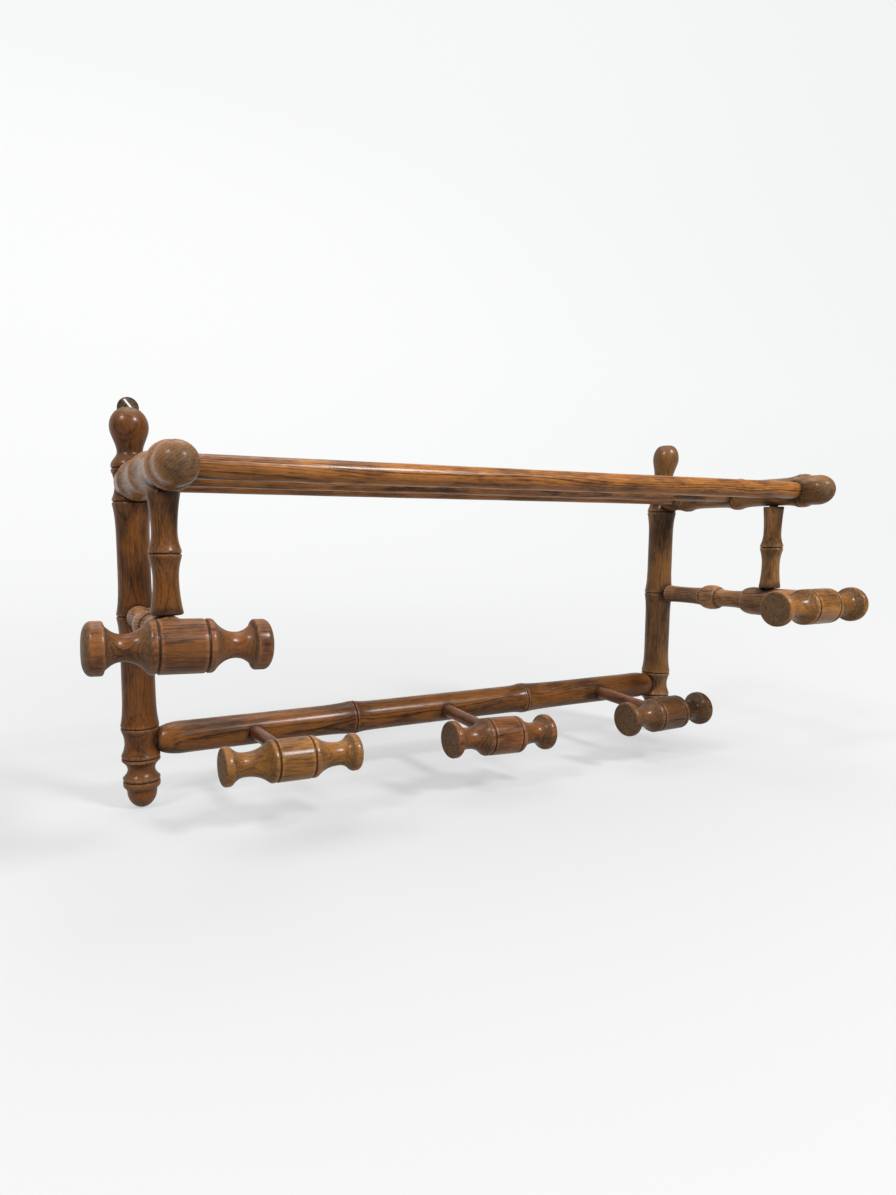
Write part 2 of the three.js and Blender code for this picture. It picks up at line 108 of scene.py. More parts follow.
class Outline:
    """The radius of a turning at distances along its axis, from one end to the other."""

    def __init__(self, *points):
        self.points = [tuple(map(float, p)) for p in points]

    def to(self, along, radius):
        self.points.append((float(along), float(radius)))
        return self

    def follow(self, steps, curve):
        self.points += [curve(i / steps) for i in range(1, steps + 1)]
        return self

    def hollow(self, along, radius, waist, power, share=0.5, steps=24):
        """A hollow whose waist is at a share of its length. Power 2 makes a round cove, and 5 a
        bamboo stem."""
        start, rim = self.points[-1]
        lowest = start + (along - start) * share

        def curve(t):
            across = -math.cos(math.pi * t)
            edge, end = (rim, start) if across < 0 else (radius, along)
            place = lowest + (end - lowest) * abs(across)
            return place, waist + (edge - waist) * abs(across) ** power

        return self.follow(steps, curve)

    def sweep(self, along, radius, steps=14):
        """A smooth sweep that leaves and arrives parallel to the axis."""
        start, first = self.points[-1]

        def curve(t):
            eased = t * t * (3 - 2 * t)
            return start + (along - start) * t, first + (radius - first) * eased

        return self.follow(steps, curve)

    def rise(self, along, radius, steps=12):
        """A quarter round that starts square to the axis and ends parallel to it."""
        start, first = self.points[-1]

        def curve(t):
            turn = t * math.pi / 2
            place = start + (along - start) * (1 - math.cos(turn))
            return place, first + (radius - first) * math.sin(turn)

        return self.follow(steps, curve)

    def fall(self, along, radius, steps=12):
        """A quarter round that starts parallel to the axis and ends square to it."""
        start, first = self.points[-1]

        def curve(t):
            turn = t * math.pi / 2
            place = start + (along - start) * math.sin(turn)
            return place, first + (radius - first) * (1 - math.cos(turn))

        return self.follow(steps, curve)

    def node(self, along, ring, depth=1.4, lip=1.1, half=3.2):
        """A bamboo node: two ridges with a narrow groove between them."""
        self.to(along - lip, ring)
        self.to(along - 0.25, ring - depth).to(along + 0.25, ring - depth)
        return self.to(along + lip, ring).to(along + half, ring - 0.2)

    def mirrored(self):
        other = [(-along, radius) for along, radius in self.points if along > 0]
        self.points = other[::-1] + self.points
        return self

    def grown(self, margin):
        return Outline(*((a, r + (margin if r > 0 else 0)) for a, r in self.points))

    def softened(self, radius):
        """Corners rounded off, as sandpaper and varnish leave them."""
        points = [np.array(p) for p in self.points]
        result = [points[0]]
        for before, here, after in zip(points, points[1:], points[2:]):
            back, on = before - here, after - here
            lengths = np.linalg.norm(back), np.linalg.norm(on)
            if min(lengths) < 1e-6:
                continue
            turn = math.pi - math.acos(np.clip(back @ on / lengths[0] / lengths[1], -1, 1))
            if turn < math.radians(14) or here[1] == 0:
                result.append(here)
                continue
            reach = min(radius, 0.45 * min(lengths))
            start, end = here + back / lengths[0] * reach, here + on / lengths[1] * reach
            for t in (0, 0.25, 0.5, 0.75, 1):
                result.append((1 - t) ** 2 * start + 2 * t * (1 - t) * here + t * t * end)
        result.append(points[-1])
        return Outline(*result)

    def divided(self, step):
        """Long straight stretches cut into steps."""
        result = [self.points[0]]
        for (a0, r0), (a1, r1) in zip(self.points, self.points[1:]):
            pieces = max(1, math.ceil(math.hypot(a1 - a0, r1 - r0) / step))
            for i in range(1, pieces + 1):
                t = i / pieces
                result.append((a0 + (a1 - a0) * t, r0 + (r1 - r0) * t))
        return Outline(*result)


# Meshes --------------------------------------------------------------------------------------


def lathe(outline, matrix, facets=FACETS, wobble=0.0, seed=0):
    """A closed mesh turned about its local Z, in metres, in the place that the matrix gives.
    Wobble is how far the hand-held tool strays from a true round, in millimetres."""
    mesh = bmesh.new()
    rings = []
    for along, radius in outline.points:
        if radius < 1e-6:
            rings.append([mesh.verts.new((0, 0, along))])
            continue
        ring = []
        for k in range(facets):
            angle = 2 * math.pi * k / facets
            stray = math.sin(2 * angle + seed + along * 0.011) + math.sin(along * 0.07 + 3 * seed)
            reach = radius + wobble * 0.5 * (stray - 2)
            ring.append(mesh.verts.new((reach * math.cos(angle), reach * math.sin(angle), along)))
        rings.append(ring)
    for lower, upper in zip(rings, rings[1:]):
        for k in range(facets):
            after = (k + 1) % facets
            if len(lower) == 1 and len(upper) == 1:
                break
            if len(lower) == 1:
                mesh.faces.new((lower[0], upper[after], upper[k]))
            elif len(upper) == 1:
                mesh.faces.new((lower[k], lower[after], upper[0]))
            else:
                mesh.faces.new((lower[k], lower[after], upper[after], upper[k]))
    mesh.transform(matrix)
    return mesh


def bar(radius, start, end, matrix, facets=48):
    """A round bar along local Z."""
    outline = Outline((start, 0), (start, radius), (end, radius), (end, 0))
    return lathe(outline, matrix, facets)


def axes(origin, along, side):
    """A frame whose Z points along a direction and whose X points to a side, from millimetres."""
    z, x = Vector(along).normalized(), Vector(side).normalized()
    y = z.cross(x)
    rotation = Matrix((x, y, z)).transposed().to_4x4()
    place = Matrix.Translation((Vector(origin) + FOOT) * MM)
    return place @ rotation @ Matrix.Scale(MM, 4)


UP, DOWN = (0, 0, 1), (0, 0, -1)
RIGHT, LEFT = (1, 0, 0), (-1, 0, 0)
FRONT, BACK = (0, -1, 0), (0, 1, 0)


def standing(x, y=0.0, z=0.0):
    return axes((x, y, z), UP, RIGHT)


def reaching(x, z):
    return axes((x, 0, z), FRONT, RIGHT)


def lying(y, z, x=SPAN / 2):
    return axes((x, y, z), RIGHT, FRONT)


def bore(origin, direction, radius, start, end):
    """A cutter for a round hole, with the joint's clearance."""
    side = RIGHT if direction in (UP, DOWN, FRONT, BACK) else UP
    return bar(radius + GAP, start, end, axes(origin, direction, side))


def mortise(origin, direction, radius):
    return bore(origin, direction, radius, TENON_END - GAP, 2 * RING_RADIUS)


def swung(pivot, droop=0.0, roll=0.0, yaw=0.0):
    """A turn round a point, in degrees. Droop tips the front down, roll lowers the right end and
    yaw swings the front to the right."""
    place = Matrix.Translation((Vector(pivot) + FOOT) * MM)
    angles = [math.radians(a) for a in (droop, roll, yaw)]
    return place @ Euler(angles).to_matrix().to_4x4() @ place.inverted()


def turned_contact(turn, origin, direction, radius):
    """A contact that has swung with its piece."""
    place = turn @ ((Vector(origin) + FOOT) * MM)
    return place / MM - FOOT, turn.to_3x3() @ Vector(direction), radius


def to_object(name, mesh):
    data = bpy.data.meshes.new(name)
    bmesh.ops.recalc_face_normals(mesh, faces=mesh.faces)
    mesh.to_mesh(data)
    mesh.free()
    item = bpy.data.objects.new(name, data)
    bpy.context.scene.collection.objects.link(item)
    return item


def combine(item, operation, *others):
    """Joins or cuts an object with other meshes, one after the other."""
    for other in others:
        tool = to_object("tool", other)
        step = item.modifiers.new("joint", "BOOLEAN")
        step.operation, step.solver, step.object = operation, "MANIFOLD", tool
        bpy.context.view_layer.update()
        shaped = bpy.data.meshes.new_from_object(
            item.evaluated_get(bpy.context.evaluated_depsgraph_get())
        )
        item.modifiers.clear()
        item.data = shaped
        tool_data = tool.data
        bpy.data.objects.remove(tool)
        bpy.data.meshes.remove(tool_data)
    return item


# Timber --------------------------------------------------------------------------------------


class Timber:
    """How a piece lies in the tree: its distance from the pith, the side that faces the bark, how
    far its grain leans, and where along the trunk it was cut. Angles are in degrees."""

    def __init__(self, pith, bark=0.0, lean=(0.6, 0.3), start=0.0):
        self.pith, self.bark, self.lean, self.start = pith, math.radians(bark), lean, start

    def matrix(self):
        outward = Vector((math.cos(self.bark), math.sin(self.bark), 0)) * self.pith
        lean = Matrix.Rotation(math.radians(self.lean[0]), 4, "X")
        lean = lean @ Matrix.Rotation(math.radians(self.lean[1]), 4, "Y")
        return Matrix.Translation(outward + Vector((0, 0, self.start))) @ lean


def profile_marks(outline):
    """Along the axis, how hollow and how sharp the outline is, each from 0 to 1."""
    points = np.array(outline.points)
    middle = points[1:-1]
    before, after = middle - points[:-2], points[2:] - middle
    turn = np.arctan2(
        before[:, 0] * after[:, 1] - before[:, 1] * after[:, 0], (before * after).sum(1)
    )
    places = np.arange(points[:, 0].min() - 1, points[:, 0].max() + 1, 0.25)
    spread = np.exp(-(((places[:, None] - middle[None, :, 0]) / 0.8) ** 2))
    bend = (spread * turn[None, :]).sum(1)
    hollow = np.clip(bend / 1.1, 0, 1)
    edge = np.clip(-bend / 0.9, 0, 1)
    return places, hollow, edge


def mark_surface(item, matrix, outline, timber, contacts):
    """Stores on each vertex what the oak shaders read: its place in the tree, painted shade in its
    grooves and round its joints, and wear.
    """
    data = item.data
    count = len(data.vertices)
    world = np.empty(count * 3)
    data.vertices.foreach_get("co", world)
    world = np.c_[world.reshape(-1, 3), np.ones(count)]
    local = world @ np.array(matrix.inverted()).T
    grain = (local @ np.array(timber.matrix()).T)[:, :3]
    normals = np.empty(count * 3)
    data.vertices.foreach_get("normal", normals)
    normals = normals.reshape(-1, 3)
    axis = np.array(matrix.to_3x3().normalized() @ Vector((0, 0, 1)))
    end = np.abs(normals @ axis)

    places, hollow, edge = profile_marks(outline)
    # Painted shade: hollows and grooves of the outline are darkened.
    painted_shade = np.interp(local[:, 2], places, hollow)
    wear = np.interp(local[:, 2], places, edge) * (1 - end**2)
    millimetres = world[:, :3] / MM - np.array(FOOT)
    # Painted shade round each joint: the surface darkens within about 3 mm of the joining piece,
    # and loses its wear there.
    for origin, direction, radius in contacts:
        offset = millimetres - np.array(origin, float)
        ahead = offset @ np.array(direction, float)
        apart = np.linalg.norm(offset - ahead[:, None] * np.array(direction, float), axis=1)
        near = np.exp(-((np.maximum(apart - radius, 0) / 3.0) ** 2)) * (ahead > 0)
        painted_shade = np.maximum(painted_shade, 0.9 * near)
        wear *= 1 - near

    for name, values in (("painted_shade", painted_shade), ("wear", wear), ("end", end)):
        layer = data.attributes.new(name, "FLOAT", "POINT")
        layer.data.foreach_set("value", values.astype(np.float32))
    layer = data.attributes.new("grain", "FLOAT_VECTOR", "POINT")
    layer.data.foreach_set("vector", grain.astype(np.float32).ravel())


def turned(name, outline, matrix, material, timber, cuts=(), joins=(), contacts=(), body="rack"):
    """One turned oak piece, in the place of the CAD node of the same name."""
    shape = outline.softened(0.7).divided(STEP)
    seed = sum(map(ord, name)) % 97
    item = to_object(name + "_turned", lathe(shape, matrix, wobble=0.12, seed=seed))
    combine(item, "DIFFERENCE", *cuts)
    combine(item, "UNION", *joins)
    item.data.shade_smooth()
    item.data.set_sharp_from_angle(angle=math.radians(38))
    mark_surface(item, matrix, shape, timber, contacts)
    item.data.materials.clear()
    item.data.materials.append(MATERIALS[material])
    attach(item, body)
    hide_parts(name)
    return item


# Shaders -------------------------------------------------------------------------------------


def linear(red, green, blue):
    """A colour in linear light, from its usual 0 to 255 values."""
    channels = [c / 255 for c in (red, green, blue)]
    channels = [c / 12.92 if c <= 0.04045 else ((c + 0.055) / 1.055) ** 2.4 for c in channels]
    return (*channels, 1.0)


class Shader:
    """A material, and short ways to add nodes to it."""

    def __init__(self, name):
        self.material = bpy.data.materials.new(name)
        self.material.use_nodes = True
        self.tree = self.material.node_tree
        self.principled = self.tree.nodes["Principled BSDF"]

    def plug(self, socket, value):
        if isinstance(value, bpy.types.NodeSocket):
            self.tree.links.new(value, socket)
        else:
            socket.default_value = value

    def attribute(self, name, output="Fac"):
        node = self.tree.nodes.new("ShaderNodeAttribute")
        node.attribute_name = name
        return node.outputs[output]

    def math(self, operation, first, second=0.0, clamp=False):
        node = self.tree.nodes.new("ShaderNodeMath")
        node.operation, node.use_clamp = operation, clamp
        self.plug(node.inputs[0], first)
        self.plug(node.inputs[1], second)
        return node.outputs[0]

    def vector(self, operation, first, second=(0, 0, 0), output=0):
        node = self.tree.nodes.new("ShaderNodeVectorMath")
        node.operation = operation
        self.plug(node.inputs[0], first)
        self.plug(node.inputs[1], second)
        return node.outputs[output]

    def noise(self, place, scale, detail=2.0, roughness=0.5):
        """Noise from 0 to 1, with a scale for each axis in cells per millimetre."""
        node = self.tree.nodes.new("ShaderNodeTexNoise")
        node.inputs["Scale"].default_value = 1.0
        node.inputs["Detail"].default_value = detail
        node.inputs["Roughness"].default_value = roughness
        self.plug(node.inputs["Vector"], self.vector("MULTIPLY", place, scale))
        return node.outputs["Fac"]

    def span(self, value, low, high, bottom=0.0, top=1.0):
        """Value from low to high, eased to bottom to top."""
        node = self.tree.nodes.new("ShaderNodeMapRange")
        node.interpolation_type = "SMOOTHSTEP"
        for socket, setting in zip(node.inputs[:5], (value, low, high, bottom, top)):
            self.plug(socket, setting)
        return node.outputs[0]

    def mix(self, factor, first, second, blend="MIX"):
        node = self.tree.nodes.new("ShaderNodeMix")
        node.data_type, node.blend_type = "RGBA", blend
        self.plug(node.inputs["Factor"], factor)
        self.plug(node.inputs[6], first)
        self.plug(node.inputs[7], second)
        return node.outputs[2]

    def bump(self, height, distance, strength=1.0):
        node = self.tree.nodes.new("ShaderNodeBump")
        node.inputs["Strength"].default_value = strength
        node.inputs["Distance"].default_value = distance
        self.plug(node.inputs["Height"], height)
        self.plug(self.principled.inputs["Normal"], node.outputs[0])

    def set(self, **values):
        for name, value in values.items():
            self.plug(self.principled.inputs[name.replace("_", " ").title()], value)


def oak(name, light, brown, figure=1.0):
    """Stained oak under satin varnish. Light and brown are the tones between which the stain
    varies, and figure is how strongly the growth rings show."""
    s = Shader(name)
    place = s.attribute("grain", "Vector")
    painted_shade, wear, end = (s.attribute(part) for part in ("painted_shade", "wear", "end"))

    # Growth rings are rounds about the pith, a little wavy, each with its own strength.
    across = s.vector("MULTIPLY", place, (1, 1, 0))
    warp = s.math("MULTIPLY", s.noise(place, (0.03, 0.03, 0.006), 1.0), 12.0)
    ripple = s.math("MULTIPLY", s.noise(place, (0.2, 0.2, 0.02), 2.0), 1.6)
    distance = s.vector("LENGTH", across, output=1)
    count = s.math("DIVIDE", s.math("ADD", s.math("ADD", distance, warp), ripple), 2.2)
    phase = s.math("FRACT", count)
    early = s.math("MULTIPLY", s.span(phase, 0.0, 0.1), s.span(phase, 0.12, 0.6, 1.0, 0.0))
    chance = s.tree.nodes.new("ShaderNodeTexWhiteNoise")
    chance.noise_dimensions = "1D"
    s.plug(chance.inputs["W"], s.math("FLOOR", count))
    ring = s.math("MULTIPLY", early, s.span(chance.outputs[0], 0.0, 1.0, 0.2, 1.0))

    # The stain lies unevenly: broad clouds, finer mottling, and streaks along the grain.
    cloud = s.span(s.noise(place, (0.045, 0.045, 0.016), 3.0, 0.6), 0.34, 0.68)
    mottle = s.span(s.noise(place, (0.55, 0.55, 0.08), 3.0, 0.65), 0.3, 0.7)
    streak = s.span(s.noise(place, (0.85, 0.85, 0.035), 2.0, 0.6), 0.38, 0.66)
    dashes = s.noise(place, (2.2, 2.2, 0.08), 2.0, 0.6)
    pores = s.span(s.math("ADD", dashes, s.math("MULTIPLY", ring, 0.09)), 0.5, 0.7)

    tone = s.math("MULTIPLY", ring, 0.42 * figure)
    for part, share in ((cloud, 0.48), (mottle, 0.14), (streak, 0.2)):
        tone = s.math("ADD", tone, s.math("MULTIPLY", part, share))
    colour = s.mix(s.span(tone, 0.1, 1.0), light, brown)
    pore_tone = tuple(0.34 * c for c in brown[:3]) + (1.0,)
    colour = s.mix(s.math("MULTIPLY", pores, 0.6), colour, pore_tone)
    flecks = s.span(s.noise(place, (1.1, 1.1, 0.08), 3.0, 0.65), 0.5, 0.74)
    fleck_tone = tuple(min(1.0, k * c) for k, c in zip((1.5, 1.8, 2.6), light[:3])) + (1.0,)
    colour = s.mix(s.math("MULTIPLY", flecks, 0.36), colour, fleck_tone)

    # Wood cut across its grain drinks more stain, so coves and end faces are darker and greyer.
    end_brown = linear(42, 27, 17)
    end_pale = linear(97, 74, 50)
    end_speck = s.span(s.noise(place, (0.3, 0.3, 0.3), 3.0, 0.7), 0.2, 0.9)
    end_rings = s.math("MULTIPLY", s.span(phase, 0.1, 0.8, 1.0, 0.0), 0.2)
    end_tone = s.mix(s.math("ADD", end_speck, end_rings, clamp=True), end_pale, end_brown)
    colour = s.mix(s.span(end, 0.3, 0.98, 0.0, 0.92), colour, end_tone)
    rubbed = tuple(min(1.0, 1.7 * c + 0.03) for c in light[:3]) + (1.0,)
    patchy = s.span(s.noise(place, (0.25, 0.25, 0.12), 2.0), 0.35, 0.65, 0.2, 1.0)
    colour = s.mix(s.math("MULTIPLY", wear, s.math("MULTIPLY", patchy, 0.6)), colour, rubbed)
    # Painted shade: grooves, hollows and the wood round joints are darkened towards near black.
    colour = s.mix(s.math("MULTIPLY", painted_shade, 0.75), colour, linear(22, 12, 6))

    rough = s.math("ADD", s.span(cloud, 0.0, 1.0, 0.34, 0.46), s.math("MULTIPLY", pores, 0.15))
    rough = s.math("ADD", rough, s.math("MULTIPLY", s.math("MAXIMUM", painted_shade, end), 0.25))
    s.set(Base_color=colour, Roughness=rough, Coat_Weight=s.span(end, 0.3, 0.9, 0.22, 0.1))
    s.principled.inputs["Coat Roughness"].default_value = 0.21
    s.principled.inputs["Coat IOR"].default_value = 1.42
    s.principled.inputs["Specular IOR Level"].default_value = 0.1

    wave = s.math("MULTIPLY", s.noise(place, (0.12, 0.12, 0.05), 2.0), 0.45)
    fleck = s.math("MULTIPLY", s.noise(place, (0.9, 0.9, 0.25), 2.0), 0.08)
    height = s.math("SUBTRACT", s.math("ADD", wave, fleck), s.math("MULTIPLY", pores, 0.05))
    s.bump(height, MM)
    return s.material


def iron(name):
    """Old, dark sheet iron with rust in patches and small bright scuffs."""
    s = Shader(name)
    place = s.vector("SCALE", s.tree.nodes.new("ShaderNodeTexCoord").outputs["Object"])
    place.node.inputs["Scale"].default_value = 1 / MM
    cloud = s.span(s.noise(place, (0.14, 0.14, 0.14), 4.0, 0.6), 0.4, 0.62)
    speck = s.span(s.noise(place, (0.9, 0.9, 0.9), 2.0), 0.60, 0.72)
    colour = s.mix(cloud, linear(52, 42, 34), linear(78, 52, 33))
    colour = s.mix(speck, colour, linear(150, 128, 104))
    s.set(Base_color=colour, Metallic=s.span(cloud, 0.0, 1.0, 0.9, 0.35))
    s.set(Roughness=s.span(cloud, 0.0, 1.0, 0.42, 0.75))
    s.bump(s.noise(place, (0.7, 0.7, 0.7), 3.0), 0.12 * MM)
    return s.material


def steel(name):
    """The worn, dull steel of an old screw."""
    s = Shader(name)
    place = s.vector("SCALE", s.tree.nodes.new("ShaderNodeTexCoord").outputs["Object"])
    place.node.inputs["Scale"].default_value = 1 / MM
    stain = s.span(s.noise(place, (0.5, 0.5, 0.5), 3.0), 0.42, 0.65)
    s.set(Base_color=s.mix(stain, linear(150, 140, 126), linear(92, 70, 52)))
    s.set(Roughness=s.span(stain, 0.0, 1.0, 0.32, 0.6))
    s.principled.inputs["Metallic"].default_value = 0.9
    s.bump(s.noise(place, (1.5, 1.5, 1.5), 2.0), 0.05 * MM)
    return s.material


MATERIALS = {
    "post_oak": oak("post_oak", linear(99, 66, 34), linear(22, 12, 7), figure=0.5),
    # A darker copy of the post oak for the left post, as painted shade.
    "post_oak_dark": oak("post_oak_dark", linear(92, 53, 19), linear(20, 7, 3), figure=0.5),
    "rail_oak": oak("rail_oak", linear(101, 59, 19), linear(29, 12, 3)),
    "arm_oak": oak("arm_oak", linear(118, 78, 39), linear(36, 20, 6), figure=0.5),
    "rod_oak": oak("rod_oak", linear(134, 84, 36), linear(50, 24, 7), figure=1.6),
    "strut_oak": oak("strut_oak", linear(122, 84, 47), linear(32, 18, 15), figure=0.4),
    # A darker copy of the strut oak for the left strut, as painted shade.
    "strut_oak_dark": oak("strut_oak_dark", linear(99, 59, 23), linear(22, 9, 3), figure=0.6),
    "peg_arm_oak": oak("peg_arm_oak", linear(136, 93, 57), linear(41, 24, 12)),
    "peg_oak_dark": oak("peg_oak_dark", linear(103, 61, 27), linear(29, 13, 5), figure=0.7),
    "peg_oak_brown": oak("peg_oak_brown", linear(87, 55, 27), linear(23, 11, 6), figure=0.7),
    "peg_oak_golden": oak("peg_oak_golden", linear(124, 81, 34), linear(45, 23, 8), figure=0.5),
    "shank_oak": oak("shank_oak", linear(99, 56, 31), linear(30, 14, 6)),
    "hanger_iron": iron("hanger_iron"),
    "screw_steel": steel("screw_steel"),
}


# Posts ---------------------------------------------------------------------------------------

# The differences between the ends. Warp is how far a finial stands to the right of its post.
ENDS = (
    {
        "side": "left", "x": 0.0, "inward": RIGHT, "arm_reach": 262.0,
        # The left end takes darker copies of the post and strut oak, as painted shade.
        "post_slot": "post_oak_dark", "strut_slot": "strut_oak_dark",
        "finial": {"ball": 19.6, "crown": 3.0}, "warp": 0.0,
        "strut": {"foot": 13.8, "ring": 13.8, "head": 13.8, "waist": 10.8},
        "roll": 2.0, "shift": -2.0, "peg": {"half": 70.0, "disc": 20.2},
    },
    {
        "side": "right", "x": SPAN, "inward": LEFT, "arm_reach": 258.5,
        "post_slot": "post_oak", "strut_slot": "strut_oak",
        "finial": {"ball": 17.6, "crown": 6.0}, "warp": 4.2,
        "strut": {"foot": 12.4, "ring": 13.3, "head": 11.8, "waist": 10.2},
        "roll": 0.0, "shift": -4.0, "peg": {"half": 71.5, "disc": 20.9},
    },
)

# Height, ring radius, and the waist and hollowness of the stem above each bamboo node.
POST_NODES = (
    (55.0, 20.2, 16.6, 2),
    (88.3, 20.0, 17.2, 5),
    (PEG_ARM_HEIGHT, 19.6, 16.8, 5),
    (324.8, 19.7, 16.4, 2),
    (PIVOT_HEIGHT, 19.7, None, None),
)


def post_outline(ball, crown):
    outline = Outline((0, 0)).rise(18, 15.6, 20).to(20.2, 16.0).to(21.0, 16.4)
    outline.to(23.2, 18.6).to(24.8, 19.4).to(28.8, 19.4).to(29.6, 18.0).to(30.4, 18.0)
    outline.to(31.2, 19.2).to(33.2, 19.4)
    outline.hollow(51.8, POST_NODES[0][1] - 0.2, 14.3, 2)
    for (height, ring, waist, power), above in zip(POST_NODES, POST_NODES[1:] + (None,)):
        outline.node(height, ring)
        if above:
            outline.hollow(above[0] - 3.2, above[1] - 0.2, waist, power)
    outline.sweep(375, 12.9).sweep(400.5, ball)
    return outline.fall(POST_HEIGHT, crown, 18).to(POST_HEIGHT, 0)


def post_clearance(end):
    return lathe(post_outline(**end["finial"]).grown(GAP), standing(end["x"]))


def warp(item, distance):
    """Bends the part of a post above its top node to the right."""
    for vertex in item.data.vertices:
        height = vertex.co.z / MM - FOOT.z
        t = min(1.0, max(0.0, (height - PIVOT_HEIGHT - 5) / (400 - PIVOT_HEIGHT - 5)))
        vertex.co.x += distance * MM * t * t * (3 - 2 * t)


def build_post(end, timber):
    x = end["x"]
    post = turned(
        "post_" + end["side"],
        post_outline(**end["finial"]),
        standing(x),
        end["post_slot"],
        timber,
        cuts=(
            mortise((x, 0, RAIL_HEIGHT), end["inward"], RAIL_TENON),
            mortise((x, 0, PEG_ARM_HEIGHT), FRONT, PEG_ARM_TENON),
            mortise((x, 0, UPPER_ARM_HEIGHT), FRONT, UPPER_ARM_TENON),
            bore((x, 0, PIVOT_HEIGHT), BACK, SCREW_RADIUS,
                 STAND_OFF - SCREW_LENGTH - GAP, 2 * RING_RADIUS),
        ),
        contacts=(
            ((x, 0, RAIL_HEIGHT), end["inward"], 11.5),
            ((x, 0, PEG_ARM_HEIGHT), FRONT, 12.2),
            ((x, 0, UPPER_ARM_HEIGHT), FRONT, 18.0),
        ),
    )
    warp(post, end["warp"])


# Upper arms ----------------------------------------------------------------------------------

# Reach, ring radius, and the waist and hollowness of the stem before each bamboo node.
UPPER_ARM_NODES = (
    (49.0, 20.3, 17.6, 2),
    (131.0, 20.3, 16.7, 5),
    (ROD_REACHES["front"], 20.0, 16.8, 5),
)


def upper_arm_outline(arm_reach):
    outline = Outline((COPED_END, 0), (COPED_END, 18.2))
    for reach, ring, waist, power in UPPER_ARM_NODES:
        outline.hollow(reach - 3.2, ring - 0.2, waist, power)
        outline.node(reach, ring)
    outline.sweep(232, UPPER_ARM_BULK).to(arm_reach - UPPER_ARM_BULK, UPPER_ARM_BULK)
    return outline.fall(arm_reach, 0, 20)


def build_upper_arm(end, timber):
    x = end["x"]
    matrix = reaching(x, UPPER_ARM_HEIGHT)
    strut = (x, -STRUT_REACH, UPPER_ARM_HEIGHT)
    rods = [(x, -reach, UPPER_ARM_HEIGHT) for reach in ROD_REACHES.values()]
    turned(
        "upper_arm_" + end["side"],
        upper_arm_outline(end["arm_reach"]),
        matrix,
        "arm_oak",
        timber,
        cuts=(
            post_clearance(end),
            *(mortise(rod, end["inward"], ROD_RADIUS) for rod in rods),
            mortise(strut, DOWN, STRUT_TENON),
        ),
        joins=(bar(UPPER_ARM_TENON, TENON_END, TENON_ROOT, matrix),),
        contacts=(
            *((rod, end["inward"], ROD_RADIUS) for rod in rods),
            (strut, DOWN, 11.4),
        ),
    )


# Shelf rods ----------------------------------------------------------------------------------


def build_rod(place, timber):
    half = SPAN / 2 - TENON_END
    outline = Outline((-half, 0), (-half, ROD_RADIUS), (half, ROD_RADIUS), (half, 0))
    matrix = lying(-ROD_REACHES[place], UPPER_ARM_HEIGHT)
    turned("shelf_rod_" + place, outline, matrix, "rod_oak", timber)


# Peg arms ------------------------------------------------------------------------------------


def peg_arm_outline():
    shoulder = RING_RADIUS + GAP
    outline = Outline((TENON_END, 0), (TENON_END, PEG_ARM_TENON), (shoulder, PEG_ARM_TENON))
    outline.to(shoulder, 10.6).rise(shoulder + 1.6, 12.2, 5)
    outline.hollow(79.6, 12.2, 11.2, 3)
    outline.to(81.6, 12.6).to(82.3, 11.4).to(83.1, 11.4).to(84.0, 12.4)
    outline.rise(96, 16.6).fall(109, 12.2)
    outline.hollow(148, 12, 10.9, 2).rise(163, PEG_ARM_BULK)
    return outline.to(PEG_ARM_REACH, PEG_ARM_BULK).to(PEG_ARM_REACH, 0)


def build_peg_arm(end, timber):
    x = end["x"]
    matrix = reaching(x, PEG_ARM_HEIGHT)
    strut = (x, -STRUT_REACH, PEG_ARM_HEIGHT)
    head = (x, -PEG_ARM_REACH, PEG_ARM_HEIGHT)
    cope_bottom = PEG_ARM_REACH - BARREL_RADIUS - 4
    turned(
        "peg_arm_" + end["side"],
        peg_arm_outline(),
        matrix,
        "peg_arm_oak",
        timber,
        cuts=(
            bar(
                BARREL_RADIUS + GAP, -60, 60,
                swung(head, roll=end["roll"]) @ axes(head, RIGHT, UP),
            ),
            mortise(strut, UP, STRUT_TENON),
        ),
        joins=(bar(PEG_TENON, cope_bottom, PEG_ARM_REACH - TENON_END, matrix),),
        contacts=((strut, UP, 12.4),),
    )


# Struts --------------------------------------------------------------------------------------


def build_strut(end, timber):
    foot = PEG_ARM_HEIGHT + PEG_ARM_BULK + GAP
    head = UPPER_ARM_HEIGHT - UPPER_ARM_BULK - GAP
    tenon_foot, tenon_head = PEG_ARM_HEIGHT + TENON_END, UPPER_ARM_HEIGHT - TENON_END
    middle = (foot + head) / 2
    radius = end["strut"]
    outline = Outline((tenon_foot, 0), (tenon_foot, STRUT_TENON), (foot, STRUT_TENON))
    outline.to(foot, radius["foot"] - 1.2).rise(foot + 1.6, radius["foot"], 5)
    outline.hollow(middle - 2.8, radius["ring"] - 0.2, radius["waist"], 2, 0.62)
    outline.node(middle, radius["ring"], 1.1, 0.9, 2.8)
    outline.hollow(head - 1.2, radius["head"], radius["waist"], 2, 0.32)
    outline.to(head, radius["head"] - 0.6)
    outline.to(head, STRUT_TENON).to(tenon_head, STRUT_TENON).to(tenon_head, 0)
    turned(
        "strut_" + end["side"],
        outline,
        standing(end["x"], -STRUT_REACH),
        end["strut_slot"],
        timber,
        # Painted shade at both ends of the strut, where it meets the arms.
        contacts=(
            ((end["x"], 0, PEG_ARM_HEIGHT), FRONT, PEG_ARM_BULK + 5.0),
            ((end["x"], 0, UPPER_ARM_HEIGHT), FRONT, UPPER_ARM_BULK + 2.0),
        ),
    )


# Lower rail ----------------------------------------------------------------------------------

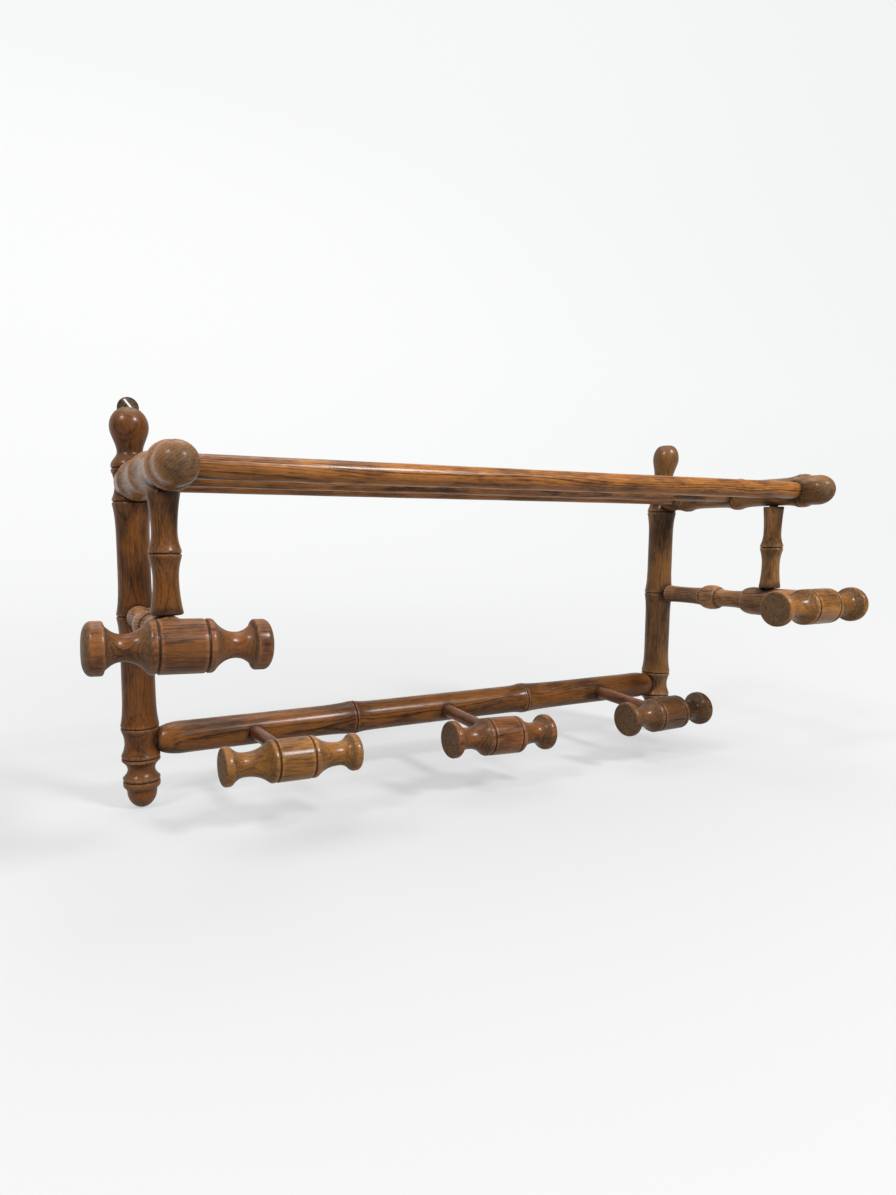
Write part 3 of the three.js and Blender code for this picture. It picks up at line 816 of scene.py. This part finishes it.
# Each peg's place along the rail from its middle, how it sits in its hole, and its own size.
RAIL_PEGS = (
    {"place": "left", "offset": -249.5, "swing": (0.1, 1.3, 1.3), "half": 70.5, "disc": 19.2},
    {"place": "middle", "offset": 0.0, "swing": (2.5, 2.7, 0.2), "half": 66.7, "disc": 20.6},
    {"place": "right", "offset": 249.5, "swing": (3.0, -0.5, 1.1), "half": 66.5, "disc": 21.2},
)


def rail_peg_root(peg):
    return (SPAN / 2 + peg["offset"], 0.0, RAIL_HEIGHT)


def peg_swing(peg):
    return swung(rail_peg_root(peg), *peg["swing"])


def build_rail(timber):
    outline = Outline((0, 17.8)).hollow(121.8, 19.8, 17.8, 8).node(125, 20, 1.3)
    outline.hollow(328, 18, 17.7, 6).fall(355, 8.4, 16).to(SPAN / 2 - COPED_END, 8.4)
    outline.to(SPAN / 2 - COPED_END, 0).mirrored()
    matrix = lying(0, RAIL_HEIGHT)
    roots = [rail_peg_root(peg) for peg in RAIL_PEGS]
    tenon = (SPAN / 2 - TENON_ROOT, SPAN / 2 - TENON_END)
    turned(
        "lower_rail",
        outline,
        matrix,
        "rail_oak",
        timber,
        cuts=(
            *map(post_clearance, ENDS),
            *(
                bar(SHANK_RADIUS + GAP, TENON_END - GAP, 2 * RING_RADIUS,
                    peg_swing(peg) @ reaching(root[0], RAIL_HEIGHT))
                for peg, root in zip(RAIL_PEGS, roots)
            ),
        ),
        joins=(
            bar(RAIL_TENON, *tenon, matrix),
            bar(RAIL_TENON, *tenon, matrix @ Matrix.Rotation(math.pi, 4, "X")),
        ),
        contacts=[(root, FRONT, SHANK_RADIUS) for root in roots],
    )


# Pegs ----------------------------------------------------------------------------------------


BEAD_END = 24.0


def half_barrel():
    outline = Outline((0, BARREL_RADIUS)).to(17.0, BARREL_RADIUS).to(17.8, BARREL_RADIUS - 1.3)
    outline.to(18.7, BARREL_RADIUS - 1.3).to(19.6, BARREL_RADIUS - 0.1)
    return outline.to(22.6, BARREL_RADIUS - 0.1).to(BEAD_END, BARREL_RADIUS - 0.9)


def flared_peg_outline(half, disc):
    share = (half - 22 - BEAD_END) / (half - 9 - BEAD_END)
    outline = half_barrel().hollow(half - 9, disc - 1.4, 12, 2.4, share)
    outline.to(half - 7.5, disc - 0.3).to(half - 6, disc).to(half - 3.4, disc)
    return outline.fall(half, disc - 3, 6).to(half, 0).mirrored()


def drum_peg_outline(half, disc):
    outline = half_barrel().hollow(half - 15.5, 16.4, 10.3, 2.2, 0.58)
    outline.to(half - 14.2, disc - 0.5).to(half - 13, disc).to(half - 6.5, disc)
    return outline.fall(half, disc - 11, 16).to(half, 0).mirrored()


def build_peg_head(name, outline, tenon, shank, slot, origin, shift, turn, timber):
    """A head whose tenon comes from behind, at a shift from the middle of the head."""
    x, y, height = origin
    turned(
        name,
        outline,
        turn @ lying(y, height, x + shift),
        slot,
        timber,
        cuts=(
            bar(tenon + GAP, TENON_END - GAP, 2 * RING_RADIUS, turn @ axes(origin, BACK, RIGHT)),
        ),
        contacts=(turned_contact(turn, origin, BACK, shank),),
    )


def build_arm_peg(end, outline, slot, timber):
    origin = (end["x"], -PEG_ARM_REACH, PEG_ARM_HEIGHT)
    build_peg_head("peg_head_arm_" + end["side"], outline(**end["peg"]), PEG_TENON, PEG_ARM_BULK,
                   slot, origin, end["shift"], swung(origin, roll=end["roll"]), timber)


def build_rail_peg(peg, slot, timber, shank_timber):
    place, turn = peg["place"], peg_swing(peg)
    x, _, height = rail_peg_root(peg)
    end = RAIL_PEG_REACH - TENON_END
    shank = Outline((TENON_END, 0), (TENON_END, SHANK_RADIUS), (end, SHANK_RADIUS), (end, 0))
    turned("peg_shank_" + place, shank, turn @ reaching(x, height), "shank_oak", shank_timber)
    outline = flared_peg_outline(peg["half"], peg["disc"])
    build_peg_head("peg_head_rail_" + place, outline, SHANK_RADIUS, SHANK_RADIUS, slot,
                   (x, -RAIL_PEG_REACH, height), 0.0, turn, timber)


# Hanger plates -------------------------------------------------------------------------------

PLATE_THICKNESS = 2.0
THREAD_START, THREAD_PITCH, THREAD_TURNS, THREAD_DEPTH = 5.0, 1.25, 9, 0.5
PLATE_RADIUS = 11.0
PLATE_LENGTH = 64.5
PLATE_TURNS = {"left": 2.3, "right": -90.0}


def rounded_slab(corners, depth, matrix, bottom=0.0):
    """A flat outline given thickness along local Z."""
    mesh = bmesh.new()
    lower = [mesh.verts.new((x, y, bottom)) for x, y in corners]
    upper = [mesh.verts.new((x, y, bottom + depth)) for x, y in corners]
    mesh.faces.new(lower[::-1])
    mesh.faces.new(upper)
    for i in range(len(corners)):
        after = (i + 1) % len(corners)
        mesh.faces.new((lower[i], lower[after], upper[after], upper[i]))
    mesh.transform(matrix)
    return mesh


def strap_outline(steps=24):
    top = [math.pi * i / steps for i in range(steps + 1)]
    ends = [(PLATE_RADIUS * math.cos(a), PLATE_LENGTH + PLATE_RADIUS * math.sin(a)) for a in top]
    return ends + [(-PLATE_RADIUS * math.cos(a), -PLATE_RADIUS * math.sin(a)) for a in top]


def slot_outline():
    half_width, half_length, slant = 1.2, 7.0, math.radians(41)
    centre = Vector((0.8, PLATE_LENGTH + 3.4))
    turn = Matrix.Rotation(slant, 2)
    corners = [(-half_width, -half_length), (half_width, -half_length)]
    corners += [(half_width, half_length), (-half_width, half_length)]
    return [tuple(turn @ Vector(c) + centre) for c in corners]


def build_hanger(end):
    # The left strap stands nearly upright, and the right one points to the middle of the rack.
    side, x = end["side"], end["x"]
    turn = math.radians(PLATE_TURNS[side])
    along = Vector((math.sin(turn), 0, math.cos(turn)))
    matrix = axes((x, STAND_OFF, PIVOT_HEIGHT), FRONT, along.cross(Vector(FRONT)))
    item = to_object("hanger_strap_" + side, rounded_slab(strap_outline(), PLATE_THICKNESS, matrix))
    sink = Outline((-1, 0), (-1, SCREW_HEAD_RADIUS + GAP + 1), (2, SCREW_RADIUS + GAP))
    sink.to(3, SCREW_RADIUS + GAP).to(3, 0)
    slot = rounded_slab(slot_outline(), 4, matrix, -1)
    combine(item, "DIFFERENCE", slot, lathe(sink, matrix, 48))
    edge = item.modifiers.new("edge", "BEVEL")
    edge.width, edge.segments, edge.limit_method = 0.25 * MM, 2, "ANGLE"
    item.data.materials.clear()
    item.data.materials.append(MATERIALS["hanger_iron"])
    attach(item, "hanger_" + side)
    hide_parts("hanger_plate_" + side)

    taper = SCREW_HEAD_RADIUS - SCREW_RADIUS
    rim = SCREW_HEAD_RADIUS - 0.1
    outline = Outline((GAP, 0), (GAP, rim - 0.1), (GAP + 0.1, rim))
    outline.to(GAP + taper, SCREW_RADIUS - 0.1)
    root = SCREW_RADIUS - THREAD_DEPTH
    for turn in range(THREAD_TURNS):
        start = THREAD_START + THREAD_PITCH * turn
        outline.to(start, root).to(start + 0.5, SCREW_RADIUS)
        outline.to(start + 0.7, SCREW_RADIUS).to(start + 1.1, root)
    outline.to(SCREW_LENGTH, 0)
    screw = to_object("hanger_screw_turned_" + side, lathe(outline, matrix, 40))
    groove = [(-0.45, -6), (0.45, -6), (0.45, 6), (-0.45, 6)]
    turn = matrix @ Matrix.Rotation(math.radians(35), 4, "Z")
    combine(screw, "DIFFERENCE", rounded_slab(groove, 1.9, turn, -0.9))
    screw.data.shade_smooth()
    screw.data.set_sharp_from_angle(angle=math.radians(30))
    screw.data.materials.clear()
    screw.data.materials.append(MATERIALS["screw_steel"])
    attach(screw, "rack")
    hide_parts("hanger_screw_" + side)


# Stage ---------------------------------------------------------------------------------------


PAPER_GLOW = 0.90
POOL_SHARE, POOL_REACH = 0.44, 2.43  # how much less it glows under the lights, and how far out
ROOM_STRENGTH = 0.15


def paper(middle):
    """Matt paper with a glow that grows away from the lights' pool, so that it is evenly pale, with
    a painted shade that dims it a little towards the far right.
    """
    s = Shader("paper")
    place = s.tree.nodes.new("ShaderNodeTexCoord").outputs["Object"]
    distance = s.vector("LENGTH", s.vector("SUBTRACT", place, middle), output=1)
    pool = s.math("POWER", math.exp(-1 / POOL_REACH), distance)
    across = s.tree.nodes.new("ShaderNodeSeparateXYZ")
    s.plug(across.inputs[0], place)
    # Painted shade: the paper glows a little less towards the far right.
    far_right_shade = s.span(across.outputs["X"], 1.5, 7.5, 0.0, 0.03)
    glow = s.math("SUBTRACT", PAPER_GLOW, s.math("MULTIPLY", pool, POOL_SHARE))
    glow = s.math("SUBTRACT", glow, far_right_shade)
    s.set(Base_color=(0.14, 0.14, 0.14, 1.0), Roughness=0.9, Emission_Strength=glow)
    s.principled.inputs["Emission Color"].default_value = (0.985, 1.0, 0.99, 1.0)
    s.principled.inputs["Specular IOR Level"].default_value = 0.0
    return s.material


def build_stage():
    """A pale sweep: floor, curve and wall in one sheet."""
    depth, rise, curve, width = 3.4, 5.0, 1.4, 12.0
    floor = cad_box[0][2]
    profile = [(-3.5, 0.0), (depth - curve, 0.0)]
    steps = 24
    for i in range(1, steps + 1):
        turn = math.pi / 2 * i / steps
        profile.append((depth - curve + curve * math.sin(turn), curve - curve * math.cos(turn)))
    profile.append((depth, rise))
    mesh = bmesh.new()
    rows = [
        [mesh.verts.new((x, y, floor + z)) for x in (-width, width)] for y, z in profile
    ]
    for near, far in zip(rows, rows[1:]):
        mesh.faces.new((near[0], near[1], far[1], far[0]))
    item = to_object("sweep", mesh)
    item.data.shade_smooth()
    item.data.materials.append(paper(Vector((0, 0, floor))))


def build_light(name, direction, distance, size, power):
    aim = Vector((0, -0.1, -0.12))
    lamp = bpy.data.lights.new(name, "AREA")
    lamp.shape, lamp.size, lamp.energy = "SQUARE", size, power
    item = bpy.data.objects.new(name, lamp)
    way = Vector(direction).normalized()
    item.location = aim + way * distance
    item.rotation_euler = way.to_track_quat("Z", "Y").to_euler()
    bpy.context.scene.collection.objects.link(item)


def build_lighting():
    world = bpy.data.worlds.new("room")
    world.use_nodes = True
    world.node_tree.nodes["Background"].inputs["Color"].default_value = (0.97, 0.985, 1.0, 1.0)
    world.node_tree.nodes["Background"].inputs["Strength"].default_value = ROOM_STRENGTH
    bpy.context.scene.world = world
    build_light("softbox_left", (-0.75, -0.35, 0.75), 3.0, 0.55, 75)
    build_light("softbox_right", (0.34, -0.64, 0.64), 3.2, 0.6, 168)
    build_light("overhead", (0.0, 0.25, 1.0), 3.2, 2.4, 85)


def build_camera():
    """Stands left of the rack, low and close, and looks along it to the right."""
    lens = bpy.data.cameras.new("view")
    lens.lens, lens.sensor_width = 22.775, 36.0
    lens.shift_x, lens.shift_y = 0.0502, 0.0188
    lens.clip_start, lens.clip_end = 0.02, 50.0
    camera = bpy.data.objects.new("view", lens)
    camera.location = (Vector((-111.66, -825.39, 289.96)) + FOOT) * MM
    camera.rotation_euler = (math.radians(90 - 6.337), 0, math.radians(-26.241))
    bpy.context.scene.collection.objects.link(camera)
    bpy.context.scene.camera = camera
    bpy.context.scene.view_settings.view_transform = "Standard"


# Assembly ------------------------------------------------------------------------------------

LEFT_END, RIGHT_END = ENDS
build_post(LEFT_END, Timber(70, 250, (0.5, 0.4), 40))
build_post(RIGHT_END, Timber(58, 200, (0.4, -0.6), 900))
build_upper_arm(LEFT_END, Timber(64, 120, (0.7, 0.2), 300))
build_upper_arm(RIGHT_END, Timber(52, 30, (-0.6, 0.5), 1300))
build_peg_arm(LEFT_END, Timber(60, 75, (0.5, 0.5), 700))
build_peg_arm(RIGHT_END, Timber(66, 310, (0.3, -0.7), 1700))
build_strut(LEFT_END, Timber(48, 270, (1.0, 0.4), 2100))
build_strut(RIGHT_END, Timber(56, 230, (-0.8, 0.6), 2500))
build_rod("front", Timber(46, 75, (0.8, 0.25), 3000))
build_rod("middle", Timber(60, 40, (0.3, 0.5), 4100))
build_rod("back", Timber(54, 330, (-0.3, 0.4), 5200))
build_rail(Timber(72, 20, (0.3, 0.5), 6300))
build_arm_peg(LEFT_END, drum_peg_outline, "peg_oak_dark", Timber(50, 10, (1.2, 0.8), 7100))
build_arm_peg(RIGHT_END, flared_peg_outline, "peg_oak_golden", Timber(44, 340, (1.5, -0.8), 7500))
LEFT_PEG, MIDDLE_PEG, RIGHT_PEG = RAIL_PEGS
build_rail_peg(
    LEFT_PEG,
    "peg_oak_golden",
    Timber(52, 350, (1.4, 1.0), 7900),
    Timber(40, 60, (1, 0), 8800),
)
build_rail_peg(
    MIDDLE_PEG,
    "peg_oak_dark",
    Timber(47, 15, (-1.1, 0.9), 8200),
    Timber(45, 200, (1, 0), 9100),
)
build_rail_peg(
    RIGHT_PEG,
    "peg_oak_brown",
    Timber(55, 25, (1.3, -0.6), 8500),
    Timber(50, 310, (1, 0), 9400),
)
for end in ENDS:
    build_hanger(end)
build_stage()
build_lighting()
build_camera()
